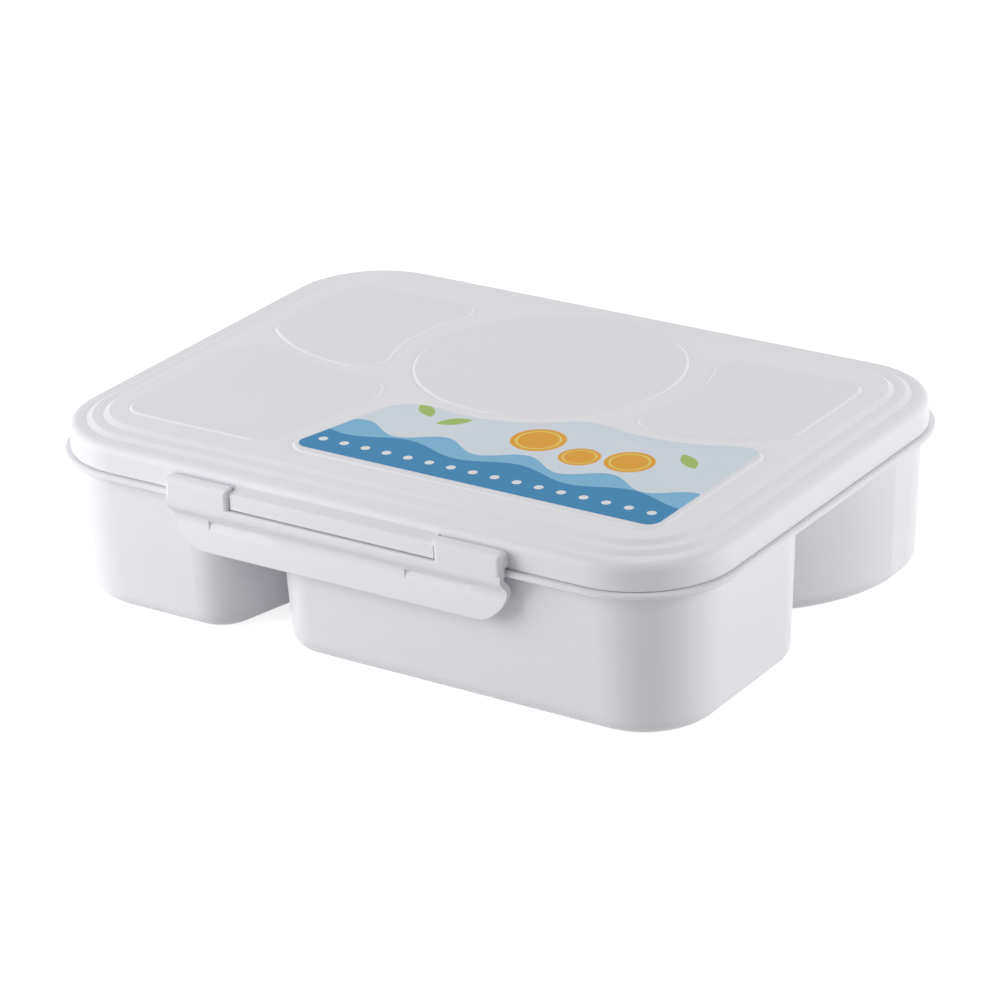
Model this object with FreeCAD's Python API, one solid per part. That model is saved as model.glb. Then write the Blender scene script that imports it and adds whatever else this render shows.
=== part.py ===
import FreeCAD, Part
import math
import os

# Lunch box with five hanging compartments, a hinged lid, a front latch and a soup bowl.
# Millimetres, +X along the length, -Y to the latch, +Z up, origin under the middle of the tray.

V = FreeCAD.Vector
UP = V(0, 0, 1)
ALONG = V(1, 0, 0)

# Tray outline and heights
flange_length = 275.0
flange_width = 205.6
flange_corner = 38.0
flange_thickness = 2.2
flange_edge = 0.6
deck_height = 55.9
tray_wall = 1.8
rim_height = 4.8

# Compartments
pod_inset = 5.5
pod_draft = 2.65
pod_foot_round = 7.0
hollow_chamfer = 3.5
pod_web = 4.5
rear_web = 8.5
front_gap = 12.8
pod_corner = 30.0
front_corner = 18.0
rear_corner = 11.0
bowl_pod_radius = 51.0
bowl_rear_margin = 16.8
rear_pod_radius = 66.0
rear_pod_overlap = 0.5
rear_pod_rear_reach = 38.8
rear_pod_inner_x = 36.0
front_pod_depth = 99.8
left_front_width = 82.1
divider_slant = 0.24

# Lid shell
lid_wall = 1.6
lid_seat_gap = 0.3
skirt_inset = 2.2
shoulder_rise = 10.3
shoulder_round = 3.0
step_rise = 1.2
step_run = 2.2
first_step_inset = 8.6
second_step_inset = 14.7
plate_lap = 3.0

# Raised pads on the lid
pad_rise = 0.6
pad_slope_run = 1.0
pad_gap = 0.4
pad_divider_gap = 6.0
pad_front_depth = 105.3
pad_side_border = 25.0
pad_front_border = 26.3
pad_rear_border = 30.8
pad_corner = 9.0
label_margin = 0.4
label_side_margin = 3.0
label_thickness = 0.2

# Seal under the lid's border
seal_rib_inset = 9.3
seal_rib_thickness = 1.25
seal_side_gap = 0.15
seal_height = 3.6
seal_rim_gap = 0.3
rib_overhang = 0.2

# Front latch
latch_length = 140.0
latch_overhang = 3.5
latch_wall = 2.2
ear_length = 26.8
ear_gap = 0.7
ear_edge_round = 1.6
ear_top_round = 2.0
ear_foot_drop = 1.9
ear_swing_gap = 0.9
barrel_radius = 2.7
barrel_axis_rise = 4.9
barrel_skirt_gap = 0.3
trunnion_radius = 1.3
trunnion_length = 5.0
trunnion_gap = 0.05
trunnion_end_gap = 0.4
tongue_setback = 1.4
tongue_top_rise = 7.6
tongue_crease_rise = 5.2
tongue_drop = 0.4
tongue_round = 1.5
flange_gap = 0.4
bridge_top_drop = 0.9
bridge_bottom_drop = 3.9
bridge_round = 4.0
waist_drop = 8.6
waist_depth = 5.0
waist_round = 5.0
lip_flare = 1.8
lip_drop = 20.5
lip_corner = 14.5
lip_edge_round = 0.7
hook_inner_x = 28.0
hook_outer_x = 55.0
hook_gap = 0.3
hook_pod_gap = 0.4
hook_heel_drop = 7.4
hook_foot_drop = 13.6
scoop_depth = 0.9
scoop_top_drop = 8.4
scoop_foot_drop = 12.3
scoop_side_run = 2.8

# Rear hinge
hinge_spacing = 120.0
hinge_eye_length = 22.0
hinge_bar_radius = 1.5
hinge_bar_gap = 0.05
hinge_eye_wall = 1.5
hinge_axis_overhang = 3.7
hinge_axis_drop = 0.8
hinge_mouth = 2.4
hinge_arm_thickness = 1.8
lug_width = 4.0
lug_side_gap = 0.4
lug_radius = 2.4

# Soup bowl, its cover and the cover's seal
bowl_wall = 1.5
bowl_foot_setback = 9.7
bowl_foot_gap = 1.0
bowl_foot_chamfer = 4.0
bowl_mouth_gap = 1.5
bowl_lip_lap = 2.8
bowl_lip_thickness = 1.6
bowl_rim_rise = 1.6
cover_gap = 0.1
cover_wall = 1.4
cover_skirt_height = 4.6
cover_dish_depth = 2.0
cover_dish_gap = 0.8
bowl_seal_width = 3.0
bowl_seal_height = 1.6

# Worked-out places
half_length = flange_length / 2
half_width = flange_width / 2
flange_bottom = deck_height - flange_thickness
rim_top = deck_height + rim_height
lid_bottom = deck_height + lid_seat_gap
shoulder_height = deck_height + shoulder_rise
ledge_height = shoulder_height + step_rise
plateau_height = ledge_height + step_rise
pad_height = plateau_height + pad_rise
skirt_y = half_width - skirt_inset
draft_slope = math.tan(math.radians(pod_draft))
divider_front_x = -half_length + left_front_width
front_pod_rear_y = -half_width + front_pod_depth
pad_front_rear_y = -half_width + pad_front_depth
bowl_center_y = half_width - bowl_rear_margin - bowl_pod_radius
rear_pod_center_x = half_length - pod_inset + rear_pod_overlap - rear_pod_radius
rear_pod_center_y = half_width - rear_pod_rear_reach
latch_front = -half_width - latch_overhang
waist_y = latch_front + waist_depth
waist_height = deck_height - waist_drop
lip_height = deck_height - lip_drop
bridge_top_height = deck_height - bridge_top_drop
barrel_axis_y = -skirt_y - barrel_skirt_gap - barrel_radius
barrel_axis_height = deck_height + barrel_axis_rise
hinge_axis_y = half_width + hinge_axis_overhang
hinge_axis_height = deck_height - hinge_axis_drop
hinge_eye_radius = hinge_bar_radius + hinge_bar_gap
hinge_eye_outer = hinge_eye_radius + hinge_eye_wall
bowl_mouth = bowl_pod_radius - tray_wall - bowl_mouth_gap
bowl_inside = bowl_mouth - bowl_wall
bowl_lip = bowl_pod_radius - tray_wall + bowl_lip_lap
bowl_top = deck_height + bowl_lip_thickness + bowl_rim_rise


def rounded_wire(corners, place):
    """Closed wire through corners (u, v, radius), rounded and put in space by place(u, v)."""
    edges = []
    count = len(corners)
    starts = []
    ends = []
    middles = []
    for i, (u, v, radius) in enumerate(corners):
        before = corners[i - 1]
        after = corners[(i + 1) % count]
        point = V(u, v, 0)
        to_before = (V(before[0], before[1], 0) - point).normalize()
        to_after = (V(after[0], after[1], 0) - point).normalize()
        half_angle = to_before.getAngle(to_after) / 2
        reach = radius / math.tan(half_angle)
        bisector = (to_before + to_after).normalize() if radius else V(0, 0, 0)
        starts.append(point + to_before * reach)
        ends.append(point + to_after * reach)
        middles.append(point + bisector * (radius / math.sin(half_angle) - radius))
    for i, corner in enumerate(corners):
        if corner[2]:
            arc = [place(p.x, p.y) for p in (starts[i], middles[i], ends[i])]
            edges.append(Part.Arc(*arc).toShape())
        following = starts[(i + 1) % count]
        if (following - ends[i]).Length > 1e-6:
            line = [place(p.x, p.y) for p in (ends[i], following)]
            edges.append(Part.LineSegment(*line).toShape())
    return Part.Wire(edges)


def side_prism(corners, x_from, x_to):
    """Prism along X of a rounded outline given in (y, z)."""
    face = Part.Face(rounded_wire(corners, lambda y, z: V(x_from, y, z)))
    return face.extrude(ALONG * (x_to - x_from))


def turned(corners, center_y):
    """Solid turned about the vertical line at (0, center_y), from a rounded outline in (radius, z)."""
    face = Part.Face(rounded_wire(corners, lambda r, z: V(r, center_y, z)))
    return face.revolve(V(0, center_y, 0), UP, 360)


def contour(inset, z, r):
    """Rounded rectangle that runs inside the flange's edge by inset, with corners of radius r."""
    x = half_length - inset
    y = half_width - inset
    return rounded_wire([(-x, -y, r), (x, -y, r), (x, y, r), (-x, y, r)], lambda u, v: V(u, v, z))


def slab(inset, z_from, z_to):
    """Plate of the tray's plan shape."""
    return Part.Face(contour(inset, z_from, flange_corner - inset)).extrude(UP * (z_to - z_from))


def border(corners):
    """Ring round the tray's plan shape, with a rounded section given in (inset, z)."""
    straight_x = half_length - flange_corner
    straight_y = half_width - flange_corner
    pieces = []
    for turn in (0, 180):
        face = Part.Face(rounded_wire(corners, lambda o, z: V(-straight_x, o - half_width, z)))
        pieces.append(face.extrude(ALONG * (2 * straight_x)).rotate(V(), UP, turn))
        bend = face.revolve(V(-straight_x, -straight_y, 0), UP, -90)
        pieces.append(bend.rotate(V(), UP, turn))
        face = Part.Face(rounded_wire(corners, lambda o, z: V(half_length - o, -straight_y, z)))
        pieces.append(face.extrude(V(0, 2 * straight_y, 0)).rotate(V(), UP, turn))
        bend = face.revolve(V(straight_x, -straight_y, 0), UP, -90)
        pieces.append(bend.rotate(V(), UP, turn))
    return pieces[0].multiFuse(pieces[1:]).removeSplitter()


def mirrored(shape):
    """The same shape on the other side of the middle plane."""
    return shape.mirror(V(), ALONG)


def disc(x, y, radius):
    return Part.Face(Part.Wire(Part.makeCircle(radius, V(x, y, 0))))


def polygon(points):
    return Part.Face(Part.makePolygon([V(x, y, 0) for x, y in points + points[:1]]))


def divider_x(y):
    """Right side of the left front compartment, which slants."""
    return divider_front_x + divider_slant * (y + half_width)


def front_area(left_shift, right_shift, rear_y):
    """Front strip between two shifts of the slanted line (None: the box's side), less the rounds."""
    corners = []
    for y in (-half_width, rear_y):
        left = -half_length if left_shift is None else divider_x(y) + left_shift
        right = half_length if right_shift is None else divider_x(y) + right_shift
        corners.append(((left, y), (right, y)))
    (front_left, front_right), (rear_left, rear_right) = corners
    area = polygon([front_left, front_right, rear_right, rear_left])
    for side in (-1, 1):
        area = area.cut(disc(side * rear_pod_center_x, rear_pod_center_y, rear_pod_radius + pod_web))
    area = area.cut(disc(0, bowl_center_y, bowl_pod_radius + pod_web))
    return main_face(area.common(Part.Face(contour(pod_inset, 0, pod_corner))))


def rear_area():
    """Right rear compartment: a large round that runs on to the rear edge, cut back round the soup bowl."""
    block = polygon([(rear_pod_inner_x, rear_pod_center_y), (half_length, rear_pod_center_y),
                     (half_length, half_width), (rear_pod_inner_x, half_width)])
    area = disc(rear_pod_center_x, rear_pod_center_y, rear_pod_radius).fuse(block).removeSplitter()
    area = area.cut(polygon([(-half_length, -half_width), (rear_pod_inner_x, -half_width),
                             (rear_pod_inner_x, half_width), (-half_length, half_width)]))
    area = area.cut(disc(0, bowl_center_y, bowl_pod_radius + rear_web))
    return main_face(area.common(Part.Face(contour(pod_inset, 0, pod_corner))))


def main_face(shape):
    return max(shape.Faces, key=lambda face: face.Area)


def plan_areas(divider_gap, front_rear_y):
    """Plan of each compartment, or of the pad above it, with the radius that rounds its corners."""
    rear = rear_area()
    return {
        "front_left": (front_area(None, 0, front_rear_y), front_corner),
        "front_center": (front_area(divider_gap, None, front_rear_y), front_corner),
        "rear_right": (rear, rear_corner),
        "rear_left": (mirrored(rear), rear_corner),
        "bowl": (disc(0, bowl_center_y, bowl_pod_radius), rear_corner),
    }


def inset_wire(area, corner, inset, z):
    """Outline of a plan with rounded corners, moved inward by inset."""
    core = area.makeOffset2D(-corner)
    wire = core.makeOffset2D(corner - inset).Wires[0]
    wire.translate(V(0, 0, z))
    return wire


def pod(area, corner, inset, z_foot, chamfer):
    """Tapered compartment solid from the deck down to z_foot, with a flat slope round its foot."""
    foot_inset = inset + (deck_height - z_foot - chamfer) * draft_slope
    rings = [(inset, deck_height), (foot_inset, z_foot + chamfer)]
    if chamfer:
        rings.append((foot_inset + chamfer, z_foot))
    return Part.makeLoft([inset_wire(area, corner, i, z) for i, z in rings], True, True)


def round_foot(solid):
    """The same solid with its underside's edge rounded."""
    z_foot = solid.BoundBox.ZMin
    edges = [e for e in solid.Edges if e.BoundBox.ZMax - z_foot < 0.01]
    return solid.makeFillet(pod_foot_round, edges)


def hinge_places():
    return [side * hinge_spacing / 2 for side in (-1, 1)]


def hinge_rod(radius, x, length):
    """Cylinder on the hinge's axis, from x on."""
    return Part.makeCylinder(radius, length, V(x, hinge_axis_y, hinge_axis_height), ALONG)


def hinge_lugs(x):
    """Bar between two lugs on the tray's rear edge."""
    lug_from = hinge_eye_length / 2 + lug_side_gap
    root_y = half_width - flange_edge
    pieces = [hinge_rod(hinge_bar_radius, x - lug_from, 2 * lug_from)]
    for lug_x in (x - lug_from - lug_width, x + lug_from):
        pieces.append(hinge_rod(lug_radius, lug_x, lug_width))
        pieces.append(Part.makeBox(lug_width, hinge_axis_y - root_y, flange_thickness,
                                   V(lug_x, root_y, flange_bottom)))
    return pieces


def hinge_eye(x):
    """Clip-on eye and its arm, which reaches over the flange to the lid's skirt."""
    x_from = x - hinge_eye_length / 2
    eye = hinge_rod(hinge_eye_outer, x_from, hinge_eye_length)
    arm_top = hinge_axis_height + hinge_eye_outer
    arm_bottom = max(arm_top - hinge_arm_thickness, lid_bottom)
    arm_root = skirt_y - lid_wall / 2
    arm = Part.makeBox(hinge_eye_length, hinge_axis_y - arm_root, arm_top - arm_bottom,
                       V(x_from, arm_root, arm_bottom))
    bore = hinge_rod(hinge_eye_radius, x_from, hinge_eye_length)
    mouth = Part.makeBox(hinge_eye_length, hinge_mouth, hinge_eye_outer,
                         V(x_from, hinge_axis_y - hinge_mouth / 2, hinge_axis_height - hinge_eye_outer))
    return eye.fuse(arm).cut(bore).cut(mouth)


def base_tray():
    """Flange, rim, deck, five compartments and the rear hinge bars as one moulding."""
    areas = plan_areas(front_gap, front_pod_rear_y).values()
    wall_to = pod_inset + tray_wall
    edge = flange_edge
    flange = border([(edge, flange_bottom, 0), (0, flange_bottom + edge, 0), (0, deck_height - edge, 0),
                     (edge, deck_height, 0), (pod_inset, deck_height, 0), (pod_inset, rim_top, 0),
                     (wall_to, rim_top, 0), (wall_to, flange_bottom, 0)])
    deck = slab(pod_inset, flange_bottom, deck_height)
    pods = [round_foot(pod(area, corner, 0, 0, 0)) for area, corner in areas]
    hollows = [pod(area, corner, tray_wall, tray_wall, hollow_chamfer) for area, corner in areas]
    lugs = [piece for x in hinge_places() for piece in hinge_lugs(x)]
    return flange.multiFuse([deck] + pods + lugs).cut(hollows).removeSplitter()


def pad_areas():
    """Plan of each raised pad: nearly the compartment's plan, kept off the lid's border."""
    window = polygon([(-half_length + pad_side_border, -half_width + pad_front_border),
                      (half_length - pad_side_border, -half_width + pad_front_border),
                      (half_length - pad_side_border, half_width - pad_rear_border),
                      (-half_length + pad_side_border, half_width - pad_rear_border)])
    pads = {}
    for name, (area, corner) in plan_areas(pad_divider_gap, pad_front_rear_y).items():
        if name == "bowl":
            pads[name] = area.makeOffset2D(-pad_gap)
        else:
            pads[name] = main_face(Part.Face(inset_wire(area, corner, pad_gap, 0)).common(window))
    return pads


def pad_solid(area, inset, z):
    """Pad with sloping sides."""
    foot = inset_wire(area, pad_corner, inset, z)
    top = inset_wire(area, pad_corner, inset + pad_slope_run, z + pad_rise)
    return Part.makeLoft([foot, top], True, True)


def latch_pin(radius, x, length, side):
    """Cylinder on the latch's axis, from x towards its side."""
    return Part.makeCylinder(radius, length, V(x, barrel_axis_y, barrel_axis_height), ALONG * side)


def latch_tongue():
    """Bar on the lid's skirt that the latch ears turn on, with a slope up to the lid's shoulder."""
    front = latch_front + tongue_setback
    half = latch_length / 2 - ear_length - ear_gap
    root = -skirt_y + lid_wall / 2
    clear_y = -half_width - flange_gap
    bottom = deck_height - tongue_drop
    bar = side_prism([(root, lid_bottom, 0), (clear_y, lid_bottom, 0), (clear_y, bottom, 0),
                      (front, bottom, 0), (front, deck_height + tongue_crease_rise, tongue_round),
                      (root, deck_height + tongue_top_rise, 0)], -half, half)
    pins = [latch_pin(trunnion_radius, side * half, trunnion_length, side) for side in (-1, 1)]
    return [bar] + pins


def lid(pads):
    """Stepped shell with raised pads, a seal rib, the latch tongue and the hinge eyes."""
    wall = lid_wall
    first_top = first_step_inset + step_run
    second_top = second_step_inset + step_run
    lap = second_top + plate_lap
    rib_in = seal_rib_inset
    rib_out = rib_in - seal_rib_thickness
    ceiling = shoulder_height - wall
    rib_bottom = ceiling - seal_height - rib_overhang
    shell = border([
        (skirt_inset, lid_bottom, 0), (skirt_inset, shoulder_height, shoulder_round),
        (first_step_inset, shoulder_height, 0), (first_top, ledge_height, 0),
        (second_step_inset, ledge_height, 0), (second_top, plateau_height, 0),
        (lap, plateau_height, 0), (lap, plateau_height - wall, 0),
        (second_top + wall / 2, plateau_height - wall, 0),
        (second_step_inset + wall / 2, ledge_height - wall, 0),
        (first_top + wall / 2, ledge_height - wall, 0), (rib_in, ceiling, 0),
        (rib_in, rib_bottom, 0), (rib_out, rib_bottom, 0), (rib_out, ceiling, 0),
        (skirt_inset + shoulder_round, ceiling, 0),
        (skirt_inset + wall, shoulder_height - shoulder_round, 0), (skirt_inset + wall, lid_bottom, 0)])
    plate = slab(second_top + plate_lap / 2, plateau_height - wall, plateau_height)
    raised = [pad_solid(area, 0, plateau_height) for area in pads.values()]
    hollows = [pad_solid(area, wall, plateau_height - wall) for area in pads.values()]
    eyes = [hinge_eye(x) for x in hinge_places()]
    return shell.multiFuse([plate] + raised + latch_tongue() + eyes).cut(hollows).removeSplitter()


def lid_seal():
    """Soft ring between the lid's skirt and the seal rib, just above the tray's rim."""
    outer = skirt_inset + lid_wall + seal_side_gap
    inner = seal_rib_inset - seal_rib_thickness - seal_side_gap
    top = shoulder_height - lid_wall
    bottom = rim_top + seal_rim_gap
    return border([(outer, bottom, 0), (outer, shoulder_height - shoulder_round, 0),
                   (skirt_inset + shoulder_round + seal_side_gap, top, 0),
                   (inner, top, 0), (inner, bottom, 0)])


def lid_label(pads):
    """Printed sheet on the large front pad, with a wider margin at the sides and front than behind."""
    sheet = Part.Face(inset_wire(pads["front_center"], pad_corner, pad_slope_run + label_margin, 0))
    front = -half_width + pad_front_border + label_side_margin + pad_slope_run
    right = half_length - pad_side_border - label_side_margin
    shift = pad_divider_gap + label_side_margin
    window = polygon([(divider_x(front) + shift, front), (right, front), (right, half_width),
                      (divider_x(half_width) + shift, half_width)])
    outline = inset_wire(main_face(sheet.common(window)), pad_corner / 2, 0, pad_height)
    return Part.Face(outline).extrude(UP * label_thickness)


def latch_ear(side):
    """Barrel ear with its socket for the lid's trunnion and rounded corners."""
    outer = latch_length / 2
    inner = outer - ear_length
    x_from, x_to = sorted((side * inner, side * outer))
    back = barrel_axis_y + barrel_radius
    flange_clear = -half_width - flange_gap
    foot = deck_height - ear_foot_drop
    top = barrel_axis_height + barrel_radius
    swing = lid_bottom + ear_swing_gap
    block = side_prism([(latch_front, foot, 0), (flange_clear, foot, 0), (flange_clear, swing, 0),
                        (back, swing, 0), (back, barrel_axis_height, 0),
                        (latch_front, barrel_axis_height, 0)], x_from, x_to)
    barrel = latch_pin(barrel_radius, side * inner, ear_length, side)
    r = ear_edge_round
    plan = rounded_wire([(x_from, latch_front, r), (x_to, latch_front, r),
                         (x_to, back, 0), (x_from, back, 0)], lambda x, y: V(x, y, foot))
    upright = Part.Face(plan).extrude(UP * (top - foot))
    view = rounded_wire([(side * inner, foot, 0), (side * outer, foot, 0), (side * outer, top, ear_top_round),
                         (side * inner, top, 0)], lambda x, z: V(x, latch_front, z))
    front = Part.Face(view).extrude(V(0, back - latch_front, 0))
    socket_depth = trunnion_length - ear_gap + trunnion_end_gap
    socket = latch_pin(trunnion_radius + trunnion_gap, side * inner, socket_depth, side)
    return block.fuse(barrel).common(upright).common(front).cut(socket)


def latch_sheet():
    """Bridge, waist and flared lip of one even wall, with rounded lower corners."""
    half = latch_length / 2
    lip_y = waist_y - lip_flare
    bend = deck_height - bridge_bottom_drop
    t = latch_wall
    section = side_prism([
        (latch_front, bridge_top_height, lip_edge_round), (latch_front, bend, bridge_round),
        (waist_y, waist_height, waist_round), (lip_y, lip_height, lip_edge_round),
        (lip_y + t, lip_height, lip_edge_round), (waist_y + t, waist_height + t / 2, waist_round + t),
        (latch_front + t, bend + t / 2, max(bridge_round - t, 0)),
        (latch_front + t, bridge_top_height, 0)], -half, half)
    outline = rounded_wire([(-half, lip_height, lip_corner), (half, lip_height, lip_corner),
                            (half, bridge_top_height, 0), (-half, bridge_top_height, 0)],
                           lambda x, z: V(x, latch_front, z))
    return section.common(Part.Face(outline).extrude(V(0, half_width, 0)))


def latch_hook(side):
    """Hook behind the waist that closes under the tray's flange."""
    x_from, x_to = sorted((side * hook_inner_x, side * hook_outer_x))
    back = -half_width + pod_inset - hook_pod_gap
    top = flange_bottom - hook_gap
    return side_prism([(waist_y, deck_height - hook_foot_drop, 0), (back, deck_height - hook_heel_drop, 0),
                       (back, top, 0), (waist_y, top, 0)], x_from, x_to)


def latch_scoop(side):
    """Hollow in the waist in front of a hook, deep at its top and running out below, with slanted ends."""
    x_from, x_to = sorted((side * hook_inner_x, side * hook_outer_x))
    top = deck_height - scoop_top_drop
    foot = deck_height - scoop_foot_drop
    foot_y = waist_y - lip_flare * (waist_height - foot) / (waist_height - lip_height)
    floor_y = waist_y + scoop_depth
    wedge = side_prism([(latch_front, foot, 0), (foot_y, foot, 0), (floor_y, top, 0), (latch_front, top, 0)],
                       x_from, x_to)
    plan = polygon([(x_from, latch_front), (x_to, latch_front), (x_to, waist_y),
                    (x_to - scoop_side_run, floor_y), (x_from + scoop_side_run, floor_y), (x_from, waist_y)])
    return wedge.common(plan.extrude(UP * deck_height))


def front_latch():
    """Two ears, the sheet between and below them, and two hooks with their scoops."""
    sides = (-1, 1)
    added = [latch_ear(side) for side in sides] + [latch_hook(side) for side in sides]
    return latch_sheet().multiFuse(added).cut([latch_scoop(side) for side in sides]).removeSplitter()


def soup_bowl():
    """Loose bowl that hangs by its lip on the deck."""
    foot = tray_wall + bowl_foot_gap
    foot_radius = bowl_mouth - bowl_foot_setback
    lip_top = deck_height + bowl_lip_thickness
    w = bowl_wall
    c = bowl_foot_chamfer
    return turned([(0, foot, 0), (foot_radius, foot, 0), (foot_radius + c, foot + c, 0),
                   (bowl_mouth, deck_height, 0), (bowl_lip, deck_height, 0), (bowl_lip, lip_top, 0),
                   (bowl_mouth, lip_top, 0), (bowl_mouth, bowl_top, 0), (bowl_inside, bowl_top, 0),
                   (bowl_inside, deck_height, 0), (foot_radius + c - w, foot + c, 0),
                   (foot_radius - w / 2, foot + w, 0), (0, foot + w, 0)], bowl_center_y)


def soup_bowl_lid():
    """Snap-on cover over the bowl's lip, with a middle that dips into the bowl."""
    inner = bowl_lip + cover_gap
    outer = inner + cover_wall
    bottom = deck_height + lid_seat_gap
    top = bottom + cover_skirt_height + cover_wall
    dish = top - cover_dish_depth
    w = cover_wall
    slope_end = bowl_inside - cover_dish_gap - w
    dish_radius = slope_end - cover_dish_depth
    return turned([(0, dish, 0), (dish_radius, dish, 0), (slope_end, top, 0), (outer, top, 0),
                   (outer, bottom, 0), (inner, bottom, 0), (inner, top - w, 0), (slope_end + w, top - w, 0),
                   (dish_radius + w, dish - w, 0), (0, dish - w, 0)], bowl_center_y)


def soup_bowl_seal():
    """Soft ring under the cover, on the bowl's rim."""
    outer = bowl_inside + bowl_seal_width
    top = bowl_top + bowl_seal_height
    return turned([(bowl_inside, bowl_top, 0), (outer, bowl_top, 0), (outer, top, 0), (bowl_inside, top, 0)],
                  bowl_center_y)


def build():
    pads = pad_areas()
    return {
        "base_tray": base_tray(),
        "lid": lid(pads),
        "lid_seal": lid_seal(),
        "lid_label": lid_label(pads),
        "front_latch": front_latch(),
        "soup_bowl": soup_bowl(),
        "soup_bowl_lid": soup_bowl_lid(),
        "soup_bowl_seal": soup_bowl_seal(),
    }


os.makedirs("parts", exist_ok=True)
for name, shape in build().items():
    box = shape.BoundBox
    print(name, len(shape.Solids), shape.isValid(), round(shape.Volume), box)
    shape.exportStep("parts/" + name + ".step")
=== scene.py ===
import math

import bpy
from mathutils import Matrix, Vector


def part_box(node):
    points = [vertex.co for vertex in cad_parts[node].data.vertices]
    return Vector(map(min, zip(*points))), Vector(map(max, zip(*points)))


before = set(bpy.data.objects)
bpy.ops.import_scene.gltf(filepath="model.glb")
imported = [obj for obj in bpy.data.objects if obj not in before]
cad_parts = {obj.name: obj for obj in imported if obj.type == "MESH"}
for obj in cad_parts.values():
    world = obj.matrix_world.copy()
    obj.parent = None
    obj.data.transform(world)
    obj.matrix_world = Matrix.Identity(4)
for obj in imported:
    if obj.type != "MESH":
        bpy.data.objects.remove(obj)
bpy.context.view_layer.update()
MM = 0.001
WHITE = (1, 1, 1, 1)

# Camera: place and axes found from the photograph's outline
CAMERA_PLACE = Vector((0.77320, -1.14030, 0.62325))
CAMERA_RIGHT = Vector((0.8351356, 0.5489905, -0.0340294))
CAMERA_UP = Vector((-0.1918757, 0.3487484, 0.9173648))
SENSOR_WIDTH = 36.0
LENS = 148.81

# Plastics: colours
TRAY_WHITE = (0.855, 0.850, 0.885, 1)
MILKY_WHITE = (0.855, 0.850, 0.890, 1)
# painted light: the lid's ribs and border are made whiter to stand in for light shining through the lid
# where the tray's rim backs it
MILKY_RIB_PAINTED_LIGHT = (0.890, 0.885, 0.926, 1)
# painted highlight: the pads' sloped edges are made whitest to stand in for the gloss lines along them
MILKY_EDGE_PAINTED_HIGHLIGHT = (0.935, 0.930, 0.968, 1)
SEAL_WHITE = (0.80, 0.80, 0.79, 1)
CLOUD_SHADE = (0, 0, 0, 1)

# Milky lid: heights in millimetres where its painted light and painted highlight begin and end, and how
# softly
RIB_FOOT_HEIGHT = 63.5
RIB_FOOT_SOFTNESS = 1.0
RIB_TOP_SOFTNESS = 0.2
PAD_RISE = 0.6
PAD_EDGE_MARGIN = 0.05
PAD_EDGE_SOFTNESS = 0.04

# Plastics: finish. Each noise has a scale and a detail.
CLOUD_NOISE = (9.0, 3.0)
STREAK_NOISE = (60.0, 4.0)
STREAK_SPREAD = 0.12
SKIN_NOISE = (1400.0, 2.0)
SKIN_STRENGTH = 0.008
SKIN_DEPTH = 0.2 * MM
EDGE_RADIUS = 0.25 * MM
EDGE_SAMPLES = 6
PLASTIC_IOR = 1.49

# Label print: colours
LABEL_PALE = (0.78, 0.84, 0.90, 1)
LABEL_SKY = (0.42, 0.62, 0.82, 1)
LABEL_BLUE = (0.035, 0.265, 0.530, 1)
LABEL_MID_BLUE = (0.22, 0.52, 0.76, 1)
LABEL_ORANGE = (0.86, 0.40, 0.02, 1)
LABEL_YELLOW = (0.88, 0.72, 0.16, 1)
LABEL_GREEN = (0.40, 0.58, 0.14, 1)
LABEL_WHITE = (0.86, 0.88, 0.90, 1)

# Label print: design. Places are shares of the label's width and depth, and lengths are millimetres.
PRINT_SOFTNESS = 0.15
SKY_NOISE = (38.0, 3.0)
SKY_CLOUD_SHARE = 0.6
SKY_WHITE_SHARE = 0.35
WAVES = (  # level, height, length, phase in radians, colour
    (0.36, 4.0, 34.0, 0.4, LABEL_MID_BLUE),
    (0.26, 3.0, 46.0, 2.1, LABEL_BLUE),
)
ROUNDS = (  # place across, place deep, radius
    (0.50, 0.60, 10.0),
    (0.64, 0.52, 7.5),
    (0.76, 0.58, 9.0),
)
ROUND_PAINTS = (  # share of the radius, colour
    (1.0, LABEL_ORANGE),
    (0.82, LABEL_YELLOW),
    (0.74, LABEL_ORANGE),
)
LEAVES = (  # place across, place deep, lean
    (0.16, 0.66, 5.0),
    (0.26, 0.60, -5.0),
    (0.88, 0.72, 5.0),
)
LEAF_REACH = 4.5
LEAF_ARC_RADIUS = 9.5
DOT_PITCH = 9.0
DOT_RADIUS = 1.7
DOT_SOFTNESS = 0.12
DOT_ROW_LEVEL = 0.12
LABEL_SHEEN_NOISE = (200.0, 2.0)
LABEL_ROUGHNESS = 0.26
LABEL_ROUGHNESS_SPREAD = 0.08
LABEL_SPECULAR = 0.08

# Studio: lengths in metres
FLOOR_SIZE = 12.0
FLOOR_GREY = (0.70, 0.70, 0.70, 1)
FLOOR_GLOW = 0.75
WORLD_FILL = 0.29
WORLD_SEEN = 1.0
LAMP_TARGET = Vector((0, 0, 0.04))
DIFFUSE_BOUNCES = 12


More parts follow.
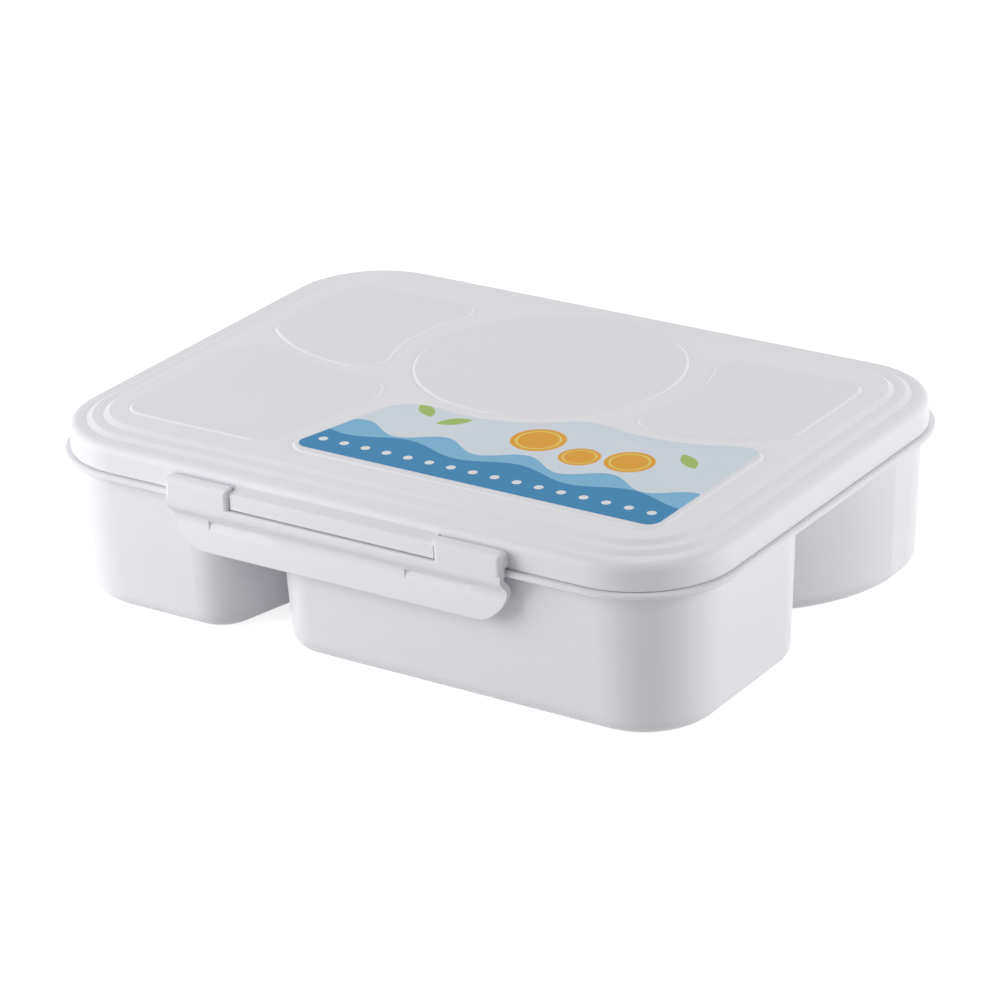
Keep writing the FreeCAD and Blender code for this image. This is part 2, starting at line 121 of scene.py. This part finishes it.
class Graph:
    """Short way to add shader nodes to a material or a world."""

    def __init__(self, owner):
        owner.use_nodes = True
        self.tree = owner.node_tree

    def put(self, socket, value):
        if isinstance(value, bpy.types.NodeSocket):
            self.tree.links.new(value, socket)
        else:
            socket.default_value = value

    def node(self, kind, *values, **named):
        made = self.tree.nodes.new(kind)
        for socket, value in zip(made.inputs, values):
            self.put(socket, value)
        for key, value in named.items():
            self.put(made.inputs[key], value)
        return made

    def math(self, operation, *values):
        made = self.node("ShaderNodeMath", *values)
        made.operation = operation
        return made.outputs[0]

    def mix(self, share, first, second):
        made = self.tree.nodes.new("ShaderNodeMix")
        made.data_type = "RGBA"
        self.put(made.inputs[0], share)
        self.put(made.inputs[6], first)
        self.put(made.inputs[7], second)
        return made.outputs[2]

    def ramp(self, value, start, end, first, last):
        """First where value is under start, last where it is over end, and a straight run between."""
        made = self.node("ShaderNodeMapRange", Value=value)
        self.put(made.inputs["From Min"], start)
        self.put(made.inputs["From Max"], end)
        self.put(made.inputs["To Min"], first)
        self.put(made.inputs["To Max"], last)
        return made.outputs[0]

    def object_point(self):
        return self.node("ShaderNodeTexCoord").outputs["Object"]

    def noise(self, scale, detail):
        made = self.node("ShaderNodeTexNoise", Vector=self.object_point(), Scale=scale, Detail=detail)
        return made.outputs["Fac"]

    def place(self):
        """X, Y and Z of a point in millimetres."""
        split = self.node("ShaderNodeSeparateXYZ", self.object_point())
        return [self.math("MULTIPLY", axis, 1 / MM) for axis in split.outputs]

    def shift(self, value, amount):
        if isinstance(value, bpy.types.NodeSocket):
            return self.math("ADD", value, amount)
        return value + amount

    def below(self, value, limit, softness):
        """1 where value is under limit, 0 above it, with a soft edge."""
        return self.ramp(value, self.shift(limit, -softness), self.shift(limit, softness), 1.0, 0.0)

    def distance(self, x, y, center_x, center_y):
        dx = self.math("SUBTRACT", x, center_x)
        dy = self.math("SUBTRACT", y, center_y)
        squares = [self.math("MULTIPLY", side, side) for side in (dx, dy)]
        return self.math("SQRT", self.math("ADD", *squares))

    def seen(self):
        """1 for a ray from the camera, off gloss or through a clear piece, and 0 for one that lights."""
        path = self.node("ShaderNodeLightPath")
        seen = self.math("MAXIMUM", path.outputs["Is Camera Ray"], path.outputs["Is Glossy Ray"])
        return self.math("MAXIMUM", seen, path.outputs["Is Transmission Ray"])


def milky_color_with_painted_light(g):
    """Milky white, with painted light that makes the lid's ribs and border a little whiter, and a
    painted highlight that makes the pads' edges whitest.
    """
    height = g.place()[2]
    pad_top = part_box("lid")[1].z / MM
    plateau = pad_top - PAD_RISE
    # painted light: a whiter band over the ribs and border, between the rib foot and the plateau
    painted_rib_light = g.math("SUBTRACT", g.below(height, plateau + PAD_RISE / 2, RIB_TOP_SOFTNESS),
                 g.below(height, RIB_FOOT_HEIGHT, RIB_FOOT_SOFTNESS))
    # painted highlight: a whitest band on the pads' sloped edges, between the plateau and the pad tops
    edge = g.math("SUBTRACT", g.below(height, pad_top - PAD_EDGE_MARGIN, PAD_EDGE_SOFTNESS),
                  g.below(height, plateau + PAD_EDGE_MARGIN, PAD_EDGE_SOFTNESS))
    return g.mix(edge, g.mix(painted_rib_light, MILKY_WHITE, MILKY_RIB_PAINTED_LIGHT), MILKY_EDGE_PAINTED_HIGHLIGHT)


def moulded_plastic(name, color, roughness, cloud):
    """Satin moulded plastic: faint cloudiness, fine skin texture and softly broken edges.

    The colour is a plain one, or a function that makes it in the material's graph.
    """
    material = bpy.data.materials.new(name)
    g = Graph(material)
    shader = g.tree.nodes["Principled BSDF"]
    if callable(color):
        color = color(g)
    clouds = g.math("MULTIPLY", g.noise(*CLOUD_NOISE), cloud)
    g.put(shader.inputs["Base Color"], g.mix(clouds, color, CLOUD_SHADE))
    streaks = g.noise(*STREAK_NOISE)
    smoothest = roughness - STREAK_SPREAD / 2
    g.put(shader.inputs["Roughness"], g.math("MULTIPLY_ADD", streaks, STREAK_SPREAD, smoothest))
    bevel = g.node("ShaderNodeBevel", Radius=EDGE_RADIUS)
    bevel.samples = EDGE_SAMPLES
    skin = g.node("ShaderNodeBump", Strength=SKIN_STRENGTH, Distance=SKIN_DEPTH,
                  Height=g.noise(*SKIN_NOISE), Normal=bevel.outputs[0])
    g.put(shader.inputs["Normal"], skin.outputs[0])
    g.put(shader.inputs["IOR"], PLASTIC_IOR)
    return material


def printed_label():
    """Generic print: a pale sky, two blue waves, ringed rounds, leaves and a row of dots."""
    material = bpy.data.materials.new("label_print")
    g = Graph(material)
    low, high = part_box("lid_label")
    left, front = low.x / MM, low.y / MM
    width, depth = (high.x - low.x) / MM, (high.y - low.y) / MM
    x, y, _ = g.place()
    clouds = g.math("MULTIPLY", g.noise(*SKY_NOISE), SKY_CLOUD_SHARE)
    color = g.mix(SKY_WHITE_SHARE, g.mix(clouds, LABEL_PALE, LABEL_SKY), LABEL_WHITE)
    for level, height, length, phase, paint in WAVES:
        swing = g.math("SINE", g.math("MULTIPLY_ADD", x, 2 * math.pi / length, phase))
        edge = g.math("MULTIPLY_ADD", swing, height, front + level * depth)
        color = g.mix(g.below(y, edge, PRINT_SOFTNESS), color, paint)
    for across, deep, radius in ROUNDS:
        far = g.distance(x, y, left + across * width, front + deep * depth)
        for share, paint in ROUND_PAINTS:
            color = g.mix(g.below(far, radius * share, PRINT_SOFTNESS), color, paint)
    for across, deep, lean in LEAVES:
        middle_x, middle_y = left + across * width, front + deep * depth
        near = g.distance(x, y, middle_x - LEAF_REACH, middle_y - lean)
        far = g.distance(x, y, middle_x + LEAF_REACH, middle_y + lean)
        leaf = g.below(g.math("MAXIMUM", near, far), LEAF_ARC_RADIUS, PRINT_SOFTNESS)
        color = g.mix(leaf, color, LABEL_GREEN)
    cell = g.math("SUBTRACT", g.math("FLOORED_MODULO", x, DOT_PITCH), DOT_PITCH / 2)
    far = g.distance(cell, y, 0.0, front + DOT_ROW_LEVEL * depth)
    color = g.mix(g.below(far, DOT_RADIUS, DOT_SOFTNESS), color, LABEL_WHITE)
    sheen = g.noise(*LABEL_SHEEN_NOISE)
    shader = g.tree.nodes["Principled BSDF"]
    g.put(shader.inputs["Base Color"], color)
    g.put(shader.inputs["Roughness"],
          g.math("MULTIPLY_ADD", sheen, LABEL_ROUGHNESS_SPREAD, LABEL_ROUGHNESS))
    g.put(shader.inputs["Specular IOR Level"], LABEL_SPECULAR)
    return material


def dress_nodes():
    tray_plastic = moulded_plastic("tray_plastic", TRAY_WHITE, roughness=0.34, cloud=0.03)
    # the lid's plastic carries painted light at its ribs and border and a painted highlight at its pads'
    # edges
    lid_plastic = moulded_plastic("lid_plastic", milky_color_with_painted_light, roughness=0.33, cloud=0.03)
    seal_rubber = moulded_plastic("seal_rubber", SEAL_WHITE, roughness=0.55, cloud=0.05)
    finishes = {
        "base_tray": tray_plastic, "front_latch": tray_plastic, "soup_bowl": tray_plastic,
        "lid": lid_plastic, "soup_bowl_lid": lid_plastic,
        "lid_seal": seal_rubber, "soup_bowl_seal": seal_rubber,
        "lid_label": printed_label(),
    }
    for name, finish in finishes.items():
        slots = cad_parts[name].data.materials
        slots.clear()
        slots.append(finish)


def studio_floor():
    """Pale floor that shows white to the camera, less the object's shadow."""
    bpy.ops.mesh.primitive_plane_add(size=FLOOR_SIZE, location=(0, 0, 0))
    floor = bpy.context.object
    floor.name = "studio_floor"
    material = bpy.data.materials.new("studio_white")
    g = Graph(material)
    g.tree.nodes.remove(g.tree.nodes["Principled BSDF"])
    diffuse = g.node("ShaderNodeBsdfDiffuse", FLOOR_GREY)
    glow = g.node("ShaderNodeEmission", WHITE, g.math("MULTIPLY", g.seen(), FLOOR_GLOW))
    both = g.node("ShaderNodeAddShader", diffuse.outputs[0], glow.outputs[0])
    g.put(g.tree.nodes["Material Output"].inputs["Surface"], both.outputs[0])
    floor.data.materials.append(material)


def studio_world():
    """Even fill light that shows white to the camera."""
    world = bpy.data.worlds.new("studio")
    bpy.context.scene.world = world
    g = Graph(world)
    background = g.tree.nodes["Background"]
    g.put(background.inputs["Color"], WHITE)
    g.put(background.inputs["Strength"], g.ramp(g.seen(), 0.0, 1.0, WORLD_FILL, WORLD_SEEN))


def soft_box(name, azimuth, elevation, distance, size, power, mirrored=False):
    """Square area lamp aimed at the middle of the box. Gloss shows it only where it is mirrored."""
    a, e = math.radians(azimuth), math.radians(elevation)
    away = Vector((math.sin(a) * math.cos(e), -math.cos(a) * math.cos(e), math.sin(e)))
    lamp = bpy.data.lights.new(name, "AREA")
    lamp.size = size
    lamp.energy = power
    holder = bpy.data.objects.new(name, lamp)
    holder.location = LAMP_TARGET + away * distance
    holder.rotation_euler = away.to_track_quat("Z", "Y").to_euler()
    holder.visible_glossy = mirrored
    bpy.context.scene.collection.objects.link(holder)


def studio_camera():
    camera = bpy.data.cameras.new("camera")
    camera.sensor_width = SENSOR_WIDTH
    camera.lens = LENS
    holder = bpy.data.objects.new("camera", camera)
    back = CAMERA_RIGHT.cross(CAMERA_UP)
    axes = Matrix((CAMERA_RIGHT, CAMERA_UP, back)).transposed().to_4x4()
    holder.matrix_world = Matrix.Translation(CAMERA_PLACE) @ axes
    bpy.context.scene.collection.objects.link(holder)
    bpy.context.scene.camera = holder


dress_nodes()
studio_floor()
studio_world()
soft_box("right_box", azimuth=115, elevation=18, distance=1.5, size=0.8, power=11.9)
soft_box("left_box", azimuth=-45, elevation=20, distance=1.1, size=0.8, power=8.7)
soft_box("back_box", azimuth=190, elevation=35, distance=1.5, size=0.8, power=3.4)
soft_box("edge_box", azimuth=-90, elevation=58, distance=1.5, size=0.35, power=0.4, mirrored=True)
studio_camera()
bpy.context.scene.view_settings.view_transform = "Standard"
bpy.context.scene.cycles.diffuse_bounces = DIFFUSE_BOUNCES
